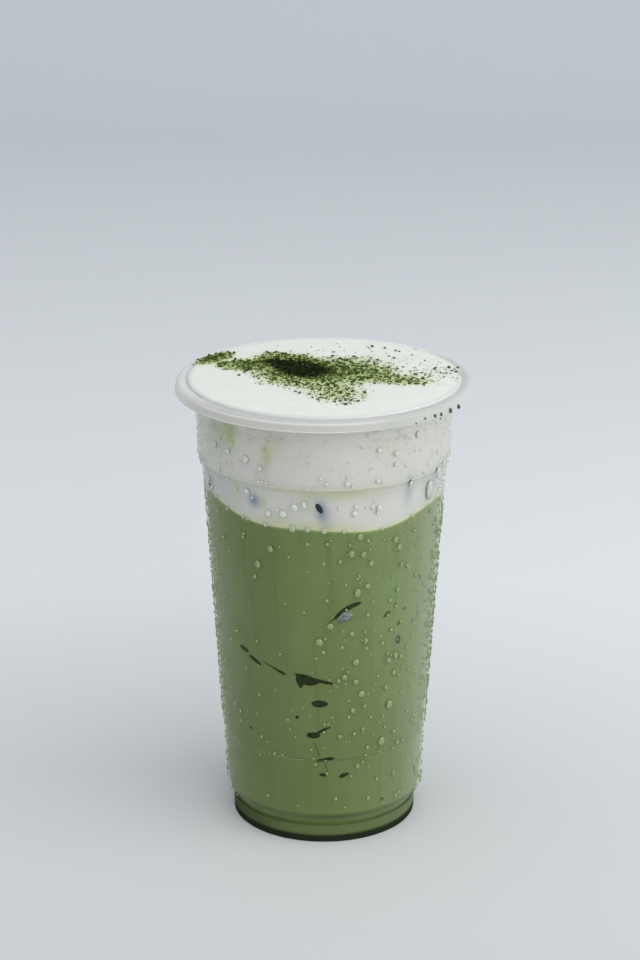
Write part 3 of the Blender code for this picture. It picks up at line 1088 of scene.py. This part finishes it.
def on_wall(angle, height, width, tall, out):
    """Matrix and place of a bead of a width, height and bulge on the outer wall."""
    turn = math.radians(angle)
    slope = math.atan2(wall_radius(height + 0.5) - wall_radius(height - 0.5), 1.0)
    stand = Matrix.Rotation(turn - math.pi / 2, 3, "Z") @ Matrix.Rotation(slope, 3, "Y")
    size = Matrix.Diagonal((out * 2, width, tall))
    radius = wall_radius(height) - BEAD_SINK
    where = np.array((radius * math.sin(turn), -radius * math.cos(turn), height))
    return np.array(stand @ size), where


# Larger beads: angle, height, width, tallness.
BIG_BEADS = (
    (13.0, 102.5, 1.9, 2.3), (19.0, 102.0, 1.6, 2.0), (7.5, 100.0, 1.3, 1.6), (23.0, 98.5, 1.5, 2.0),
    (17.0, 108.0, 1.9, 2.1), (36.0, 105.0, 1.7, 2.1), (38.5, 102.0, 1.8, 2.4), (40.5, 96.0, 1.2, 1.8),
    (21.5, 91.0, 1.6, 2.0), (16.5, 89.0, 2.1, 2.8), (39.0, 87.5, 1.3, 1.8), (34.5, 84.5, 1.2, 1.5),
    (38.5, 82.0, 1.1, 1.4), (22.0, 81.0, 1.3, 1.6), (3.0, 78.0, 1.9, 2.0), (14.0, 75.0, 1.5, 1.8),
    (21.5, 72.0, 1.4, 1.9), (9.0, 70.5, 1.3, 1.6), (16.5, 65.0, 1.9, 2.2), (35.5, 63.5, 1.5, 1.8),
    (40.0, 64.5, 1.8, 2.1), (39.5, 58.5, 1.5, 1.9), (10.5, 60.0, 1.6, 1.9), (16.5, 58.0, 1.6, 1.8),
    (20.0, 53.5, 2.1, 2.2), (15.5, 48.0, 1.5, 1.7), (37.5, 47.5, 2.4, 3.0), (33.5, 35.0, 2.2, 3.0),
    (34.5, 54.0, 1.3, 1.7), (19.0, 27.5, 1.4, 2.0), (43.5, 21.5, 0.9, 2.2), (16.5, 39.5, 1.3, 1.4),
    (8.5, 39.0, 1.3, 1.4), (45.0, 32.5, 1.3, 1.6), (31.5, 21.5, 1.2, 1.4), (-26.5, 103.0, 1.9, 2.3),
    (-34.0, 97.0, 2.1, 2.6), (-36.0, 92.5, 1.3, 1.7), (-2.5, 72.5, 2.3, 2.4), (-0.5, 69.0, 1.4, 1.5),
    (-8.0, 106.0, 1.3, 1.5), (-0.5, 99.5, 1.2, 1.4), (-37.0, 51.0, 1.1, 1.3), (-38.0, 121.0, 2.0, 2.0),
    (-27.0, 115.0, 2.0, 2.0), (-19.5, 115.5, 2.5, 2.2), (-14.0, 118.0, 2.3, 2.5), (-9.5, 119.0, 1.6, 2.2),
    (-37.0, 132.0, 2.2, 2.2), (-47.5, 133.0, 1.6, 1.8), (-57.0, 133.5, 1.3, 1.9), (-29.5, 130.0, 1.5, 1.6),
    (14.0, 116.0, 1.7, 1.8), (14.5, 118.2, 1.3, 1.3), (26.0, 117.0, 1.6, 1.8), (24.0, 126.5, 1.4, 1.4),
    (10.0, 126.5, 1.6, 1.5), (1.0, 126.5, 1.4, 1.4), (24.5, 136.5, 1.6, 1.5), (33.0, 134.5, 1.4, 1.8),
    (33.0, 131.0, 1.4, 1.4), (45.0, 139.0, 1.4, 2.2), (42.3, 123.2, 1.4, 1.9), (63.4, 123.6, 1.5, 2.0),
    (58.5, 118.0, 3.2, 6.2),
)
# Beads that caught along the border of the foam: angle, width.
BORDER_BEADS = (
    (-41.5, 1.2), (-38.8, 1.0), (-28.5, 1.5), (-15.0, 2.0), (-8.0, 1.6), (0.0, 1.9), (9.0, 1.3),
    (28.0, 1.0), (46.0, 1.2),
)
# Drops on the lip's skirt: angle, height, width.
LIP_DROPS = (
    (45.5, 146.4, 0.9), (49.0, 146.2, 0.9), (54.8, 146.2, 1.3), (60.9, 146.1, 1.2), (40.4, 146.4, 0.6),
    (48.5, 144.9, 0.6), (36.0, 145.6, 0.5),
)


def make_beads():
    """Condensation on the outer wall: the larger beads first, then small ones between them."""
    chance = random.Random(21)
    kinds = [bead_kind(6, 2, 0.25), bead_kind(8, 2, 0.35), bead_kind(14, 4, 0.35)]
    places, over_foam, taken = [], [], {}

    def add(angle, height, width, tall, out):
        """Set a bead on the wall, unless it would touch one that is there."""
        arc = math.radians(angle) * wall_radius(height)
        cell = (round(arc / CELL), round(height / CELL))
        near = [bead for i in (-1, 0, 1) for j in (-1, 0, 1)
                for bead in taken.get((cell[0] + i, cell[1] + j), ())]
        if any(math.hypot(arc - bead[0], height - bead[1]) < 0.5 * (width + bead[2]) for bead in near):
            return
        taken.setdefault(cell, []).append((arc, height, width))
        turn, where = on_wall(angle, height, width, tall, out)
        places.append((0 if width < 0.9 else 1 if width < 1.6 else 2, turn, where))
        border = LEVEL + border_wave(math.radians(angle))
        milky = min(1.0, max(0.0, (height - border + 0.6) / 2.0))
        over_foam.append(milky if width < 3.0 else 0.85)

    for angle, height, width, tall in BIG_BEADS:
        add(angle, height, width * 1.1, tall * 1.1, width * BULGE)
    for angle, width in BORDER_BEADS:
        height = LEVEL + border_wave(math.radians(angle)) + 0.3
        add(angle, height, width, width * 1.1, width * BULGE)
    for _ in range(BEAD_TRIES):
        angle = chance.uniform(-180.0, 180.0)
        height = chance.uniform(HEEL_HEIGHT + 0.5, FLARE_HEIGHT - 0.6)
        density, small, large = beads_per_area(angle, height)
        if height < LEDGE_HEIGHT + 1.7:
            density *= 0.4
        if chance.random() > density / DENSEST:
            continue
        width = small + (large - small) * chance.random() ** 1.6
        add(angle, height, width, width * chance.uniform(1.0, 1.4), width * chance.uniform(BULGE, 0.4))
    for ring_height, count in ((SHOULDER_TOP_HEIGHT + 0.9, 36), (LEDGE_HEIGHT + 0.9, 30)):
        for _ in range(count):
            width = chance.uniform(0.6, 1.1)
            add(chance.uniform(-180.0, 180.0), ring_height, width, width * 1.1, width * 0.4)
    beads = scatter("condensation_beads", kinds, places, {"over_foam": over_foam})
    beads.data.materials.append(bead_finish())
    hand_over(beads, "clear_plastic")


def make_lip_drops():
    """Small drops hanging on the lip's skirt."""
    kinds = [bead_kind(12, 3, 0.4)]
    places = []
    for angle, height, width in LIP_DROPS:
        turn, where = on_wall(angle, height, width, width * 1.3, width * 0.5)
        reach = LIP_RADIUS - 0.05 - math.hypot(where[0], where[1])
        around = math.radians(angle)
        outward = np.array((math.sin(around), -math.cos(around), 0.0))
        places.append((0, turn, where + reach * outward))
    drops = scatter("lip_drops", kinds, places, {})
    drops.data.materials.append(dark_drop_finish())
    hand_over(drops, "clear_plastic")


# ---------------------------------------------------------------- studio

def make_studio():
    """Pale floor that sweeps up into a backdrop, in metres."""
    side, front, back, top = -3.5, -2.5, 1.6, 3.2
    bend, steps = 0.5, 16
    outline = [(front, 0.0), (back - bend, 0.0)]
    for step in range(1, steps + 1):
        turn = math.pi / 2 * step / steps
        outline.append((back - bend + bend * math.sin(turn), bend * (1 - math.cos(turn))))
    outline.append((back, top))
    shape = bmesh.new()
    chain = [shape.verts.new((side, y, z)) for y, z in outline]
    links = [shape.edges.new(pair) for pair in zip(chain, chain[1:])]
    pushed = bmesh.ops.extrude_edge_only(shape, edges=links)["geom"]
    far_side = [item for item in pushed if isinstance(item, bmesh.types.BMVert)]
    bmesh.ops.translate(shape, vec=(-2 * side, 0, 0), verts=far_side)
    bmesh.ops.recalc_face_normals(shape, faces=shape.faces)
    floor = new_piece("studio_sweep", shape)
    floor.data.materials.append(paper_finish())


def add_light(name, place, aim, size, power, colour):
    """A soft rectangular light aimed at a point."""
    lamp = bpy.data.lights.new(name, "AREA")
    lamp.shape = "RECTANGLE"
    lamp.size, lamp.size_y = size
    lamp.energy = power
    lamp.color = colour
    light = bpy.data.objects.new(name, lamp)
    light.location = place
    light.rotation_euler = (Vector(aim) - Vector(place)).to_track_quat("-Z", "Y").to_euler()
    bpy.context.scene.collection.objects.link(light)


def make_lights():
    """Bright even room light, a large soft box overhead and one to the right."""
    world = bpy.data.worlds.new("studio_air")
    bpy.context.scene.world = world
    world.use_nodes = True
    sky = world.node_tree.nodes["Background"]
    sky.inputs["Color"].default_value = (0.93, 0.97, 1.0, 1.0)
    sky.inputs["Strength"].default_value = 0.81
    middle = (0.0, 0.0, 0.09)
    add_light("soft_box_front", (0.65, -1.2, 1.0), middle, (1.6, 1.2), 9.0, (1.0, 1.0, 1.0))
    add_light("soft_box_right", (1.25, -0.3, 0.5), middle, (0.9, 1.2), 6.0, (1.0, 1.0, 1.0))


def make_camera():
    """The camera in front of the cup, looking a little down on it."""
    look_down = 0.33255
    lens = bpy.data.cameras.new("front_camera")
    lens.sensor_width = 36.0
    lens.lens = 98.08
    lens.clip_start = 0.01
    lens.clip_end = 20.0
    camera = bpy.data.objects.new("front_camera", lens)
    camera.location = (-0.00135, -0.79525, 0.38879)
    camera.rotation_euler = (math.pi / 2 - look_down, 0.0, 0.0)
    bpy.context.scene.collection.objects.link(camera)
    bpy.context.scene.camera = camera


make_camera()
make_studio()
make_lights()
make_cup()
make_latte()
make_foam()
make_powder()
make_ice()
make_beads()
make_lip_drops()
bpy.context.scene.view_settings.view_transform = "Standard"
